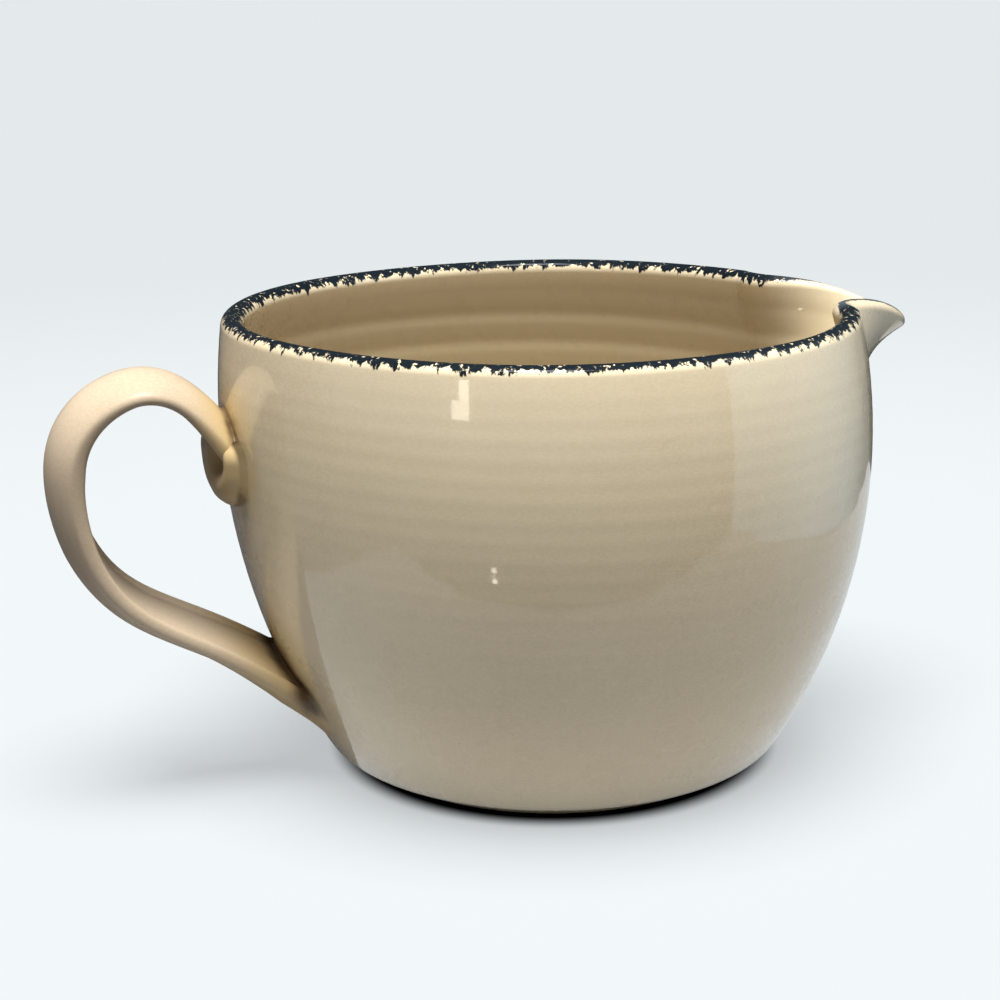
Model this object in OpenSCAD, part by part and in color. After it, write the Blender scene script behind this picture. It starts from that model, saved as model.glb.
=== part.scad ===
// Batter bowl in thrown stoneware: a round belly on a turned foot, a pulled
// strap handle and a drooping pouring spout, with a sponged band on the rim.
// Millimetres. The origin is the centre of the foot, on the surface that the
// bowl stands on. +X points to the spout and -X to the handle.

/* [Bowl] */
// Height of the rim above the table
rim_h = 131; // [118:1:145]
// Outer radius of the belly at its widest
belly_r = 93; // [86:1:104]
// Height at which the belly is widest
belly_h = 97; // [88:1:104]
// Radius of the arc that the wall follows from heel to rim
wall_arc_r = 175; // [160:5:200]
// Thickness of the thrown wall, which also rounds the lip
wall_t = 6.5; // [5:0.5:8]
// Thickness of the floor
floor_t = 8; // [6:0.5:11]
// Radius of the heel, where the wall turns under
heel_r = 8; // [5:0.5:10]
// Radius of the curve inside, where the floor turns up into the wall
well_r = 26; // [18:1:34]

/* [Foot] */
// How far the foot ring stands in from where the heel starts to curve up
foot_inset = 3; // [0:0.5:8]
// Width of the foot ring
foot_w = 6; // [4:0.5:9]
// Height of the foot ring
foot_h = 3; // [2:0.5:5]
// Rounding of the foot ring's lower edges
foot_edge_r = 0.8; // [0.4:0.1:1.2]

/* [Spout] */
// Half of the angle of wall that the spout takes up
spout_angle = 24; // [20:1:28]
// How far the tip stands out beyond the rim
spout_reach = 26; // [20:1:34]
// How far the tip hangs below the rim
spout_droop = 9; // [5:1:13]
// Height of wall below the rim that swells into the spout
spout_depth = 42; // [36:1:50]
// Inward pinch of the rim at each side of the spout
spout_pinch = 3; // [0:0.5:5]
// Thickness of the spout's lip at its tip
spout_lip_t = 4; // [3:0.5:5]

/* [Handle] */
// Distance from the bowl's axis to the middle of the strap at its furthest
handle_reach = 139; // [130:1:150]
// Height of the strap's middle at the top of its arch
handle_top_h = 115; // [109:1:118]
// Height at which the middle of the strap's toe meets the wall
handle_toe_h = 20; // [17:1:27]
// Width of the strap
strap_w = 28; // [22:1:32]
// Thickness of the strap in the middle of its width
strap_t = 9; // [7:0.5:11]
// How much the strap widens on each side at its upper end
top_flare = 4.5; // [1:0.5:6]
// How much the strap widens on each side where its toe is smoothed out
toe_flare = 8.5; // [4:0.5:10]

/* [Joint coil] */
// Height of the clay worked in under the upper end of the strap
coil_h = 22; // [19:1:25]
// Width of the coil across the strap
coil_w = 38; // [32:1:42]
// How far the coil stands out from the wall
coil_out = 6; // [4:0.5:8]
// Depth of its middle below the middle of the strap
coil_below = 4.5; // [3.5:0.5:6.5]

/* [Rim band] */
// Thickness of the sponged slip on the lip
band_t = 0.5; // [0.3:0.1:0.8]

/* [Hidden] */
$fn = 240;

// One overrun serves every cut
overrun = 1;
glaze_colour = "#cfc1a0";
handle_colour = "#d3c3a2";
coil_colour = "#c4b390";
band_colour = "#2b3a4a";
thin_band_colour = "#6d7679";

// The arc of the wall has its centre beyond the axis, level with the widest
// point, and the lip is a half circle on the end of the wall's middle line
arc_x = belly_r - wall_arc_r;
lip_r = wall_t / 2;
mid_arc_r = wall_arc_r - lip_r;
lip_z = rim_h - lip_r;
lip_tilt = asin((lip_z - belly_h) / mid_arc_r);
lip_x = arc_x + mid_arc_r * cos(lip_tilt);

// Radius of the bowl's outside at a height
function wall_out(z) = arc_x + sqrt(pow(wall_arc_r, 2) - pow(z - belly_h, 2));

// Middle of the corner arc of radius r that stands on a floor at height base
// and touches an arc of radius big from inside, and the point where they touch
function corner_x(big, r, base) = arc_x + sqrt(pow(big - r, 2) - pow(belly_h - base - r, 2));
function touch_x(big, r, base) = arc_x + (corner_x(big, r, base) - arc_x) * big / (big - r);
function touch_z(big, r, base) = belly_h - (belly_h - base - r) * big / (big - r);

// Outer radius of the turned foot ring
foot_r = corner_x(wall_arc_r, heel_r, foot_h) - foot_inset;

// Everything below the line across the lip's middle, which follows the wall's
// normal, raised by lift
module below_lip(low, lift) {
    far_x = wall_arc_r;
    polygon([
        [0, low],
        [far_x, low],
        [far_x, lip_z + (far_x - lip_x) * tan(lip_tilt) + lift],
        [0, lip_z - lip_x * tan(lip_tilt) + lift]
    ]);
}

// Profile filled from the axis out to an arc of radius big, standing on a flat
// base, with a corner arc between the two
module filled_profile(big, corner, base, lift) {
    x = corner_x(big, corner, base);
    tx = touch_x(big, corner, base);
    tz = touch_z(big, corner, base);
    polygon([[0, base], [x, base], [tx, tz], [0, tz]]);
    translate([x, base + corner])
        circle(corner);
    intersection() {
        translate([arc_x, belly_h])
            circle(big);
        below_lip(tz, lift);
    }
}

module outer_profile() filled_profile(wall_arc_r, heel_r, foot_h, 0);

module inner_profile() filled_profile(wall_arc_r - wall_t, well_r, foot_h + floor_t, overrun);

// Half of the lip's circle above the line across its middle, out to radius r
module lip_half(r) {
    translate([lip_x, lip_z])
        rotate(lip_tilt)
            intersection() {
                circle(r);
                translate([-r, 0])
                    square([2 * r, r]);
            }
}

module foot_section() {
    straight_w = foot_w - 2 * foot_edge_r;
    translate([foot_r - foot_w, foot_edge_r])
        square([foot_w, foot_h]);
    translate([foot_r - foot_w + foot_edge_r, 0])
        square([straight_w, foot_h]);
    for (x = [foot_r - foot_w + foot_edge_r, foot_r - foot_edge_r])
        translate([x, foot_edge_r])
            circle(foot_edge_r);
}

module bowl_section() {
    difference() {
        outer_profile();
        inner_profile();
    }
    translate([lip_x, lip_z])
        circle(lip_r - band_t);
    foot_section();
}

module band_section() {
    difference() {
        lip_half(lip_r);
        lip_half(lip_r - band_t);
    }
}

// The spout takes the place of a wedge of wall. Its lower edge follows the
// wall's normal at the height where the wall starts to swell.
low_tilt = asin((rim_h - spout_depth - belly_h) / mid_arc_r);

module spout_wedge() {
    far_r = belly_r + overrun;
    near_r = lip_x - wall_t;
    top = rim_h + overrun;
    rotate([0, 0, -spout_angle])
        rotate_extrude(angle = 2 * spout_angle)
            polygon([
                [near_r, belly_h + (near_r - arc_x) * tan(low_tilt)],
                [far_r, belly_h + (far_r - arc_x) * tan(low_tilt)],
                [far_r, top],
                [near_r, top]
            ]);
}

// A solid through rings of points. Point k of a ring faces point count-1-k
// across the ring, so the two ends are closed by strips between such points.
module loft(rings) {
    count = len(rings[0]);
    last = (len(rings) - 1) * count;
    half = count / 2;
    sides = [
        for (i = [0 : len(rings) - 2], k = [0 : count - 1])
            let (a = i * count + k, b = i * count + (k + 1) % count)
                each [[a, b, b + count], [a, b + count, a + count]]
    ];
    first_end = [
        for (k = [0 : half - 2])
            each [[k, count - 1 - k, count - 2 - k], [k, count - 2 - k, k + 1]]
    ];
    last_end = [for (f = first_end) [f[0] + last, f[2] + last, f[1] + last]];
    polyhedron(points = [for (ring = rings) each ring], faces = concat(sides, first_end, last_end));
}

// Spout: the wall's middle surface runs on as S(u, v), with u from -1 to 1
// across the spout and v from 0 at its lower edge to 1 at the lip
spout_columns = 40;
spout_rows = 14;
lip_steps = 9;
spout_width_power = 2.75;
spout_rise_power = 2.2;
spout_drop_power = 2.5;
nudge = 0.001;

function spout_bulge(u) = pow(max(0, 1 - u * u), spout_width_power);
function spout_rise(v) = pow(max(0, v), spout_rise_power);
function spout_squeeze(u) = 16 * pow(u, 4) * pow(max(0, 1 - u * u), 2);
function spout_mid(u, v) =
    let (
        tilt = low_tilt + v * (lip_tilt - low_tilt),
        pinch = spout_pinch * spout_squeeze(u) * spout_rise(v),
        r = arc_x + mid_arc_r * cos(tilt) - pinch,
        z = belly_h + mid_arc_r * sin(tilt),
        swell = spout_bulge(u) * spout_rise(v),
        drop = pow(spout_bulge(u), spout_drop_power) * spout_rise(v)
    )
    [
        r * cos(u * spout_angle) + spout_reach * swell,
        r * sin(u * spout_angle),
        z - spout_droop * drop
    ];

function unit(a) = a / norm(a);
function spout_up(u, v) = unit(spout_mid(u, v) - spout_mid(u, v - nudge));
function spout_across(u, v) = spout_mid(u + nudge, v) - spout_mid(u - nudge, v);
function edge_across(u) = [-sin(u * spout_angle), cos(u * spout_angle), 0];
function spout_normal(u, v) =
    let (side = abs(u) == 1 ? edge_across(u) : spout_across(u, v))
    unit(cross(side, spout_up(u, v)));
function spout_half_t(u, v) =
    (wall_t + (spout_lip_t - wall_t) * spout_bulge(u) * spout_rise(v)) / 2;

// Half circle of radius r round the end of the spout's middle surface
function lip_arc(u, r) = [
    for (k = [0 : lip_steps])
        let (turn = 180 * k / lip_steps)
        spout_mid(u, 1) + r * (cos(turn) * spout_normal(u, 1) + sin(turn) * spout_up(u, 1))
];

function spout_ring(u) = [
    for (j = [0 : spout_rows])
        let (v = j / spout_rows)
        spout_mid(u, v) + spout_half_t(u, v) * spout_normal(u, v),
    each lip_arc(u, spout_half_t(u, 1) - band_t),
    for (j = [spout_rows : -1 : 0])
        let (v = j / spout_rows)
        spout_mid(u, v) - spout_half_t(u, v) * spout_normal(u, v)
];

function spout_band_ring(u) = [
    each lip_arc(u, spout_half_t(u, 1)),
    for (p = [lip_steps : -1 : 0]) lip_arc(u, spout_half_t(u, 1) - band_t)[p]
];

spout_us = [for (i = [0 : spout_columns]) -1 + 2 * i / spout_columns];

// Strap handle: its middle line is a smooth curve steered by points given as
// shares of the reach outside the belly and of the height from toe to arch
strap_path_shares = [
    [-0.55, 0.58],
    [-0.28, 0.68],
    [0.00, 0.805],
    [0.30, 1.02],
    [0.68, 0.995],
    [0.97, 0.86],
    [0.95, 0.60],
    [0.62, 0.39],
    [0.08, 0.23],
    [-0.40, 0.015],
    [-0.82, -0.11],
    [-1.20, -0.21]
];
strap_spans = len(strap_path_shares) - 3;
// Knot of the curve at which the strap leaves the wall
wall_knot = 1;
strap_steps = 6;
strap_sides = 20;
// Share of the thickness that lies outside the line through the strap's edges
crown_share = 0.69;
// How the faces curve to the edges: 1 is a half ellipse, less is flatter and
// fuller at the edge, and more leaves the edge thinner
crown_power = 1.25;
inner_power = 0.4;
// Share of the strap's length over which each end widens
flare_share = 0.22;

function strap_point(i) =
    let (s = strap_path_shares[i])
    [
        belly_r + s[0] * (handle_reach - belly_r),
        handle_toe_h + s[1] * (handle_top_h - handle_toe_h)
    ];

// Smooth curve through the steering points' neighbourhood, t from 0 to spans
function strap_mid(t) =
    let (
        i = min(floor(t), strap_spans - 1),
        f = t - i,
        a = pow(1 - f, 3) / 6,
        b = (3 * pow(f, 3) - 6 * pow(f, 2) + 4) / 6,
        c = (-3 * pow(f, 3) + 3 * pow(f, 2) + 3 * f + 1) / 6,
        d = pow(f, 3) / 6
    )
    a * strap_point(i) + b * strap_point(i + 1) + c * strap_point(i + 2) + d * strap_point(i + 3);

function flare_at(s) =
    top_flare * pow(max(0, 1 - s / flare_share), 2)
    + toe_flare * pow(max(0, 1 - (1 - s) / flare_share), 2);

// Height of the strap's faces above its edges at an angle round the section
function strap_face(turn) =
    sin(turn) > 0
        ? crown_share * pow(sin(turn), crown_power)
        : -(1 - crown_share) * pow(-sin(turn), inner_power);

function strap_ring(t) =
    let (
        p = strap_mid(t),
        ahead = unit(strap_mid(min(t + nudge, strap_spans)) - strap_mid(max(t - nudge, 0))),
        out = [-ahead[1], ahead[0]],
        half_w = strap_w / 2 + flare_at(t / strap_spans)
    )
    [
        for (k = [0 : strap_sides - 1])
            let (
                turn = 360 * (k + 0.5) / strap_sides,
                q = p + out * strap_t * strap_face(turn)
            )
            [-q[0], half_w * cos(turn), q[1]]
    ];

module strap_sweep() {
    steps = strap_spans * strap_steps;
    loft([for (i = [0 : steps]) strap_ring(i / strap_steps)]);
}

// Outside of the bowl as a full solid, which cuts what is pressed onto it
module bowl_outside() {
    rotate_extrude()
        outer_profile();
}

// Joint coil: a roll of clay pressed into the corner under the strap, whose
// middle line lies across the strap just inside the wall
coil_r = (pow(coil_h / 2, 2) + pow(coil_out, 2)) / (2 * coil_out);
coil_z = strap_mid(wall_knot)[1] - coil_below;
coil_x = wall_out(coil_z) + coil_out - coil_r;
coil_half_l = (coil_w - coil_h) / 2;

module coil_roll() {
    translate([-coil_x, 0, coil_z])
        rotate([90, 0, 0])
            rotate_extrude()
                union() {
                    translate([0, -coil_half_l])
                        square([coil_r, 2 * coil_half_l]);
                    for (side = [-1, 1])
                        intersection() {
                            translate([0, side * coil_half_l])
                                circle(coil_r);
                            translate([0, -coil_w])
                                square([coil_r, 2 * coil_w]);
                        }
                }
}

module bowl_body() {
    color(glaze_colour)
        difference() {
            rotate_extrude()
                bowl_section();
            spout_wedge();
        }
}

module pouring_spout() {
    color(glaze_colour)
        loft([for (u = spout_us) spout_ring(u)]);
}

module strap_handle() {
    color(handle_colour)
        difference() {
            strap_sweep();
            bowl_outside();
            coil_roll();
        }
}

module upper_joint_coil() {
    color(coil_colour)
        difference() {
            coil_roll();
            bowl_outside();
        }
}

module rim_band() {
    color(band_colour)
        difference() {
            rotate_extrude()
                band_section();
            spout_wedge();
        }
}

module spout_band() {
    color(thin_band_colour)
        loft([for (u = spout_us) spout_band_ring(u)]);
}

bowl_body();
pouring_spout();
strap_handle();
upper_joint_coil();
rim_band();
spout_band();
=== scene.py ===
# %% [markdown]
# # A batter bowl in thrown stoneware
#
# This lesson dresses a solid model of a batter bowl: a round belly on a turned foot, a pulled
# strap handle, a drooping pouring spout, and a band of blue slip dabbed on the rim with a
# sponge. The solid model is loaded first and never changed. It gives the frame in which every
# piece is made, with +X towards the spout, -X towards the handle, and the table at height 0.

# %% Load the frame
import math

import bpy
import numpy as np
from mathutils import Matrix, Vector


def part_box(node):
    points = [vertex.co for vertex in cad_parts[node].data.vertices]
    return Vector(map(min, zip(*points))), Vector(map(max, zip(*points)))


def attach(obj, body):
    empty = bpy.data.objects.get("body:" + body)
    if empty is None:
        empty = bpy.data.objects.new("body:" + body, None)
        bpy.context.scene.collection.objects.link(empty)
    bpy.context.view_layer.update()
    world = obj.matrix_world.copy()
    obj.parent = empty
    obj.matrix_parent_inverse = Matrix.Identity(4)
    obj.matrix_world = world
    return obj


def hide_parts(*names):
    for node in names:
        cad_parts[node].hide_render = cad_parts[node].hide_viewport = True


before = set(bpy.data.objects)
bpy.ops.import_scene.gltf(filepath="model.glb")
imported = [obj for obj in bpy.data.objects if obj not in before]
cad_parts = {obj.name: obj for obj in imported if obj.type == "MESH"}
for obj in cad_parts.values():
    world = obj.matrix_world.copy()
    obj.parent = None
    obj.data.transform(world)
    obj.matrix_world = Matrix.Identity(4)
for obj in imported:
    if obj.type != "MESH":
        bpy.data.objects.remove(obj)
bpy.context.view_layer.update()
print("solid nodes:", ", ".join(sorted(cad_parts)))

# %% [markdown]
# ## The driving sizes
#
# A potter measures a bowl in a few numbers: how high, how wide at the belly, how thick the wall.
# They are written here in millimetres, as on a workshop drawing, and each mesh is turned into
# Blender's metres only when it is made. The widest point is then set against the solid model, so
# that a slip of the pen shows at once.

# %% Sizes in millimetres
MM = 0.001
RIM_H = 131.0
BELLY_R = 93.0
BELLY_H = 97.0
WALL_ARC_R = 175.0
WALL_T = 6.5
FLOOR_T = 8.0
HEEL_R = 8.0
WELL_R = 26.0
FOOT_INSET = 3.0
FOOT_W = 6.0
FOOT_H = 3.0
FOOT_EDGE_R = 0.8
BAND_T = 0.5

solid_belly_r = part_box("bowl_body")[1].y / MM
print("belly radius", BELLY_R, "and the solid's", round(solid_belly_r, 1))

# %% [markdown]
# ## The camera
#
# The picture was taken from a little above the rim, from the side, and turned a little to the
# handle. A lens of 72 mm on a 36 mm sensor gives the same mild perspective. The camera is built
# from three directions: back towards the viewer, right, and up, with a small roll, because the
# picture isn't quite level.

# %% Set up the camera
CAMERA_AZIMUTH = math.radians(-18)
CAMERA_ELEVATION = math.radians(15.23)
CAMERA_ROLL = math.radians(0.69)
CAMERA_DISTANCE = 586.4
AIM_H = 65.5
AIM_RIGHT = -14.97
AIM_UP = 7.77
LENS = 72
SENSOR = 36

camera_back = Vector((
    math.sin(CAMERA_AZIMUTH) * math.cos(CAMERA_ELEVATION),
    -math.cos(CAMERA_AZIMUTH) * math.cos(CAMERA_ELEVATION),
    math.sin(CAMERA_ELEVATION),
))
level_right = Vector((math.cos(CAMERA_AZIMUTH), math.sin(CAMERA_AZIMUTH), 0))
level_up = camera_back.cross(level_right)
camera_right = level_right * math.cos(CAMERA_ROLL) - level_up * math.sin(CAMERA_ROLL)
camera_up = level_right * math.sin(CAMERA_ROLL) + level_up * math.cos(CAMERA_ROLL)
eye = (
    Vector((0, 0, AIM_H))
    + camera_back * CAMERA_DISTANCE
    + level_right * AIM_RIGHT
    + level_up * AIM_UP
) * MM

camera = bpy.data.objects.new("picture_camera", bpy.data.cameras.new("picture_camera"))
bpy.context.scene.collection.objects.link(camera)
camera.data.lens = LENS
camera.data.sensor_width = SENSOR
turned = Matrix((camera_right, camera_up, camera_back)).transposed().to_4x4()
camera.matrix_world = Matrix.Translation(eye) @ turned
bpy.context.scene.camera = camera
print("camera stands at", [round(c, 3) for c in eye])

# %% [markdown]
# ## The wall, as one sheet of clay
#
# Bowl and spout are one sheet of clay: the potter throws the wall and then pulls a part of the
# rim out with two fingers. So the wall is described once, by its middle surface. An angle
# `phi` runs round the bowl, and a `tilt` runs up the arc that the wall follows from heel to
# lip. Within the spout's wedge the surface swells outwards, droops at the tip and is pinched
# at the shoulders, where the fingers held it.

# %% The middle surface of the wall
ARC_X = BELLY_R - WALL_ARC_R
LIP_R = WALL_T / 2
MID_ARC_R = WALL_ARC_R - LIP_R
LIP_TILT = math.asin((RIM_H - LIP_R - BELLY_H) / MID_ARC_R)

SPOUT_ANGLE = math.radians(24)
SPOUT_REACH = 26.0
SPOUT_DROOP = 9.0
SPOUT_DEPTH = 42.0
SPOUT_PINCH = 3.0
SPOUT_LIP_T = 4.0
SPOUT_WIDTH_POWER = 2.75
SPOUT_RISE_POWER = 2.2
SPOUT_DROP_POWER = 2.5
LOW_TILT = math.asin((RIM_H - SPOUT_DEPTH - BELLY_H) / MID_ARC_R)


def spout_swell(phi, tilt):
    """How far the wall has swollen into the spout: 0 on the plain wall, 1 at the tip."""
    across = np.clip(phi / SPOUT_ANGLE, -1, 1)
    height = np.clip((tilt - LOW_TILT) / (LIP_TILT - LOW_TILT), 0, None)
    return across, (1 - across**2) ** SPOUT_WIDTH_POWER, height**SPOUT_RISE_POWER


def wall_middle(phi, tilt):
    """Middle of the wall in millimetres."""
    across, bulge, rise = spout_swell(phi, tilt)
    squeeze = (4 * across**2 * (1 - across**2)) ** 2
    r = ARC_X + MID_ARC_R * np.cos(tilt) - SPOUT_PINCH * squeeze * rise
    z = BELLY_H + MID_ARC_R * np.sin(tilt) - SPOUT_DROOP * bulge**SPOUT_DROP_POWER * rise
    x = r * np.cos(phi) + SPOUT_REACH * bulge * rise
    return np.stack([x, r * np.sin(phi), z], axis=-1)


def unit(v):
    return v / np.linalg.norm(v, axis=-1, keepdims=True)


def wall_directions(phi, tilt):
    """The wall's normal, outwards, and its direction up the wall."""
    nudge = 1e-4
    up = unit(wall_middle(phi, tilt) - wall_middle(phi, tilt - nudge))
    across = wall_middle(phi + nudge, tilt) - wall_middle(phi - nudge, tilt)
    return unit(np.cross(across, up)), up


def wall_half_t(phi, tilt):
    _, bulge, rise = spout_swell(phi, tilt)
    return (WALL_T + (SPOUT_LIP_T - WALL_T) * bulge * rise) / 2


print("the lip's middle is at height", round(BELLY_H + MID_ARC_R * math.sin(LIP_TILT), 2))

# %% [markdown]
# ## Rows up the bowl, columns round it
#
# A mesh that follows a pot well has rows round the pot and columns up its section. The rows
# start under the foot, climb the outside, turn over the lip, go down the inside and end in the
# middle of the floor. The columns are closer together in the spout, where the shape changes
# fastest. The corner arcs under the heel and inside, at the well, each touch the wall's big
# arc, so their middles follow from the radii.

# %% Columns and the plain rows
COLUMN_STEP = math.radians(1.2)
SPOUT_COLUMN_STEP = math.radians(0.6)
ROW_STEP = 1.2
LIP_STEPS = 19

spout_columns = round(2 * SPOUT_ANGLE / SPOUT_COLUMN_STEP) + 1
plain_columns = round((2 * math.pi - 2 * SPOUT_ANGLE) / COLUMN_STEP) + 1
phis = np.concatenate([
    np.linspace(-SPOUT_ANGLE, SPOUT_ANGLE, spout_columns),
    np.linspace(SPOUT_ANGLE, 2 * math.pi - SPOUT_ANGLE, plain_columns)[1:-1],
])
phis = np.where(phis > math.pi, phis - 2 * math.pi, phis)


def corner_arc(big_r, small_r, base):
    """Middle of a corner arc on a floor at height base, and the tilt at which it touches."""
    drop = BELLY_H - base - small_r
    x = ARC_X + math.sqrt((big_r - small_r) ** 2 - drop**2)
    return x, -math.asin(drop / (big_r - small_r))


def arc_rows(middle_x, middle_z, r, start, end, count):
    turn = np.linspace(start, end, count)
    return np.stack([middle_x + r * np.cos(turn), middle_z + r * np.sin(turn)], axis=-1)


heel_x, heel_tilt = corner_arc(WALL_ARC_R, HEEL_R, FOOT_H)
well_x, well_tilt = corner_arc(WALL_ARC_R - WALL_T, WELL_R, FOOT_H + FLOOR_T)
FLOOR_Z = FOOT_H + FLOOR_T
FOOT_R = heel_x - FOOT_INSET
print("heel arc at", round(heel_x, 2), "well arc at", round(well_x, 2))

# %% [markdown]
# The underside is turned on the wheel once the clay is leather hard. The tool leaves a shallow
# hollow inside the foot ring with fine rings in it, and the ring's edges are wiped round with
# a finger.

# %% Rows under the foot
RECESS_RISE = 0.9
RECESS_ROWS = 24
RECESS_RING = 3.4
RECESS_RING_DEPTH = 0.09
EDGE_ROWS = 5

recess_r = np.linspace(0, FOOT_R - FOOT_W - 2 * FOOT_EDGE_R, RECESS_ROWS)
recess_z = (
    FOOT_H
    + RECESS_RISE * (1 - (recess_r / recess_r[-1]) ** 2)
    + RECESS_RING_DEPTH * np.sin(2 * math.pi * recess_r / RECESS_RING) * (recess_r > 0)
)
ring_in = FOOT_R - FOOT_W
quarter = math.pi / 2
under_rows = np.concatenate([
    np.stack([recess_r, recess_z], axis=-1),
    arc_rows(
        ring_in - FOOT_EDGE_R, FOOT_H - FOOT_EDGE_R, FOOT_EDGE_R, quarter, 0, EDGE_ROWS
    ),
    arc_rows(ring_in + FOOT_EDGE_R, FOOT_EDGE_R, FOOT_EDGE_R, 2 * quarter, 3 * quarter, EDGE_ROWS),
    arc_rows(FOOT_R - FOOT_EDGE_R, FOOT_EDGE_R, FOOT_EDGE_R, -quarter, 0, EDGE_ROWS),
    arc_rows(
        FOOT_R + FOOT_EDGE_R, FOOT_H - FOOT_EDGE_R, FOOT_EDGE_R, 2 * quarter, quarter, EDGE_ROWS
    ),
    arc_rows(heel_x, FOOT_H + HEEL_R, HEEL_R, -quarter, heel_tilt, 2 * EDGE_ROWS)[:-1],
])
print(len(under_rows), "rows from the middle of the foot to the heel")

# %% [markdown]
# The wall rows come in two stretches, below and above the height where the spout begins, so
# that the spout can take over a whole number of rows. Inside, the well corner and the floor
# close the section.

# %% Rows up the outside, and down the inside
WELL_ROWS = 20
FLOOR_ROWS = 28


def tilt_rows(low, high, r):
    count = max(2, round(r * (high - low) / ROW_STEP) + 1)
    return np.linspace(low, high, count)


outer_low = tilt_rows(heel_tilt, LOW_TILT, WALL_ARC_R)
inner_low = tilt_rows(well_tilt, LOW_TILT, WALL_ARC_R)
spout_tilts = tilt_rows(LOW_TILT, LIP_TILT, WALL_ARC_R)
outer_tilts = np.concatenate([outer_low, spout_tilts[1:]])
inner_tilts = np.concatenate([inner_low, spout_tilts[1:]])[::-1]
well_rows = arc_rows(well_x, FLOOR_Z + WELL_R, WELL_R, well_tilt, -quarter, WELL_ROWS)[1:]
floor_r = np.linspace(well_x, 0, FLOOR_ROWS)[1:]
floor_rows = np.stack([floor_r, np.full_like(floor_r, FLOOR_Z)], axis=-1)
print(len(outer_tilts), "rows up the outside and", len(inner_tilts), "down the inside")

# %% [markdown]
# ## One grid for the whole pot
#
# Now every row and column meet in one array of points. Bowl, spout and bands are all cut from
# this grid, and their shading normals come from it too. That is why no seam shows where two
# pieces meet: both sides hold the same points and the same normals.

# %% The grid of the plain pot
def turned_rows(rows):
    """Rows of (radius, height) swept round all columns."""
    r, z = rows[:, :1], np.repeat(rows[:, 1:], len(phis), axis=1)
    return np.stack([r * np.cos(phis), r * np.sin(phis), z], axis=-1)


def wall_rows(tilts, side):
    phi, tilt = np.broadcast_arrays(phis[None], tilts[:, None])
    normal, _ = wall_directions(phi, tilt)
    return wall_middle(phi, tilt) + side * wall_half_t(phi, tilt)[..., None] * normal


def lip_rows(inset):
    """The half circle over the lip, from outside to inside, inset under its surface."""
    turn = np.linspace(0, math.pi, LIP_STEPS + 1)[:, None]
    phi, tilt = np.broadcast_arrays(phis[None], np.full_like(turn, LIP_TILT))
    normal, up = wall_directions(phi, tilt)
    way = np.cos(turn)[..., None] * normal + np.sin(turn)[..., None] * up
    return wall_middle(phi, tilt) + (wall_half_t(phi, tilt)[..., None] - inset) * way


plain_grid = np.concatenate([
    turned_rows(under_rows),
    wall_rows(outer_tilts, 1),
    lip_rows(0)[1:-1],
    wall_rows(inner_tilts, -1),
    turned_rows(well_rows),
    turned_rows(floor_rows),
])
OUT_START = len(under_rows)
SPOUT_START = OUT_START + len(outer_low) - 1
LIP_START = OUT_START + len(outer_tilts) - 1
LIP_END = LIP_START + LIP_STEPS
SPOUT_END = LIP_END + len(spout_tilts) - 1
print("grid of", plain_grid.shape[0], "rows and", plain_grid.shape[1], "columns")

# %% [markdown]
# ## Marks of the hand and the wheel
#
# A thrown pot is never quite the drawing. Inside, the potter's finger left a rising spiral of
# soft grooves. Outside, the rib wiped them away but for a trace. They could be bumps in the
# glaze only, but light rakes over them at the rim, so they are moved points. They are made
# from a few fixed sine waves, and come out the same on every run.

# %% Throwing rings
INSIDE_PITCH = 9.5
INSIDE_DEPTH = 0.16
OUTSIDE_PITCH = 5.2
OUTSIDE_DEPTH = 0.014
RING_FADE = 9.0
LIP_MARGIN = 3.0
FLOOR_MARGIN = 2.0
FOOT_MARGIN = 4.0
GROOVE_CHANGE = 0.35
GROOVE_CHANGE_LENGTH = 17.0
GROOVE_SHARPNESS = 0.28
TRACE_WANDER = 0.6
TRACE_WANDER_PITCH = 0.37
SPOUT_CALM = 0.5


def along_section(grid):
    """Length of the section from the first row, for each row, in the plain columns."""
    plain = grid[:, grid.shape[1] // 2 + spout_columns // 2]
    steps = np.linalg.norm(np.diff(plain, axis=0), axis=-1)
    return np.concatenate([[0], np.cumsum(steps)])


def soft_window(s, start, end):
    """1 between start and end, falling smoothly to 0 over the fade at each of them."""
    t = np.clip(np.minimum(s - start, end - s) / RING_FADE, 0, 1)
    return t * t * (3 - 2 * t)


def grid_normals(grid):
    across = np.roll(grid, -1, axis=1) - np.roll(grid, 1, axis=1)
    up = np.gradient(grid, axis=0)
    normals = np.cross(across, up)
    size = np.linalg.norm(normals, axis=-1, keepdims=True)
    return normals / np.maximum(size, 1e-9)


reach = along_section(plain_grid)
inside = soft_window(reach, reach[LIP_END] + LIP_MARGIN, reach[-1] - FLOOR_MARGIN)
outside = soft_window(reach, reach[OUT_START] - FOOT_MARGIN, reach[LIP_START])
turn_in = 2 * math.pi * reach[:, None] / INSIDE_PITCH + phis
slow = np.sin(reach[:, None] / GROOVE_CHANGE_LENGTH + 0.4)
strong = 1 - GROOVE_CHANGE + GROOVE_CHANGE * slow
groove = np.sin(turn_in) + GROOVE_SHARPNESS * np.sin(2 * turn_in + 0.7)
turn_out = 2 * math.pi * reach[:, None] / OUTSIDE_PITCH + phis
trace = np.sin(turn_out) + TRACE_WANDER * np.sin(TRACE_WANDER_PITCH * turn_out + 2 * phis)
marks = INSIDE_DEPTH * inside[:, None] * strong * groove
marks = marks + OUTSIDE_DEPTH * outside[:, None] * trace
_, bulge_at, rise_at = spout_swell(phis[None], np.array([[LIP_TILT]]))
marks = marks * (1 - SPOUT_CALM * bulge_at * rise_at)
thrown_grid = plain_grid + marks[..., None] * grid_normals(plain_grid)
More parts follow.
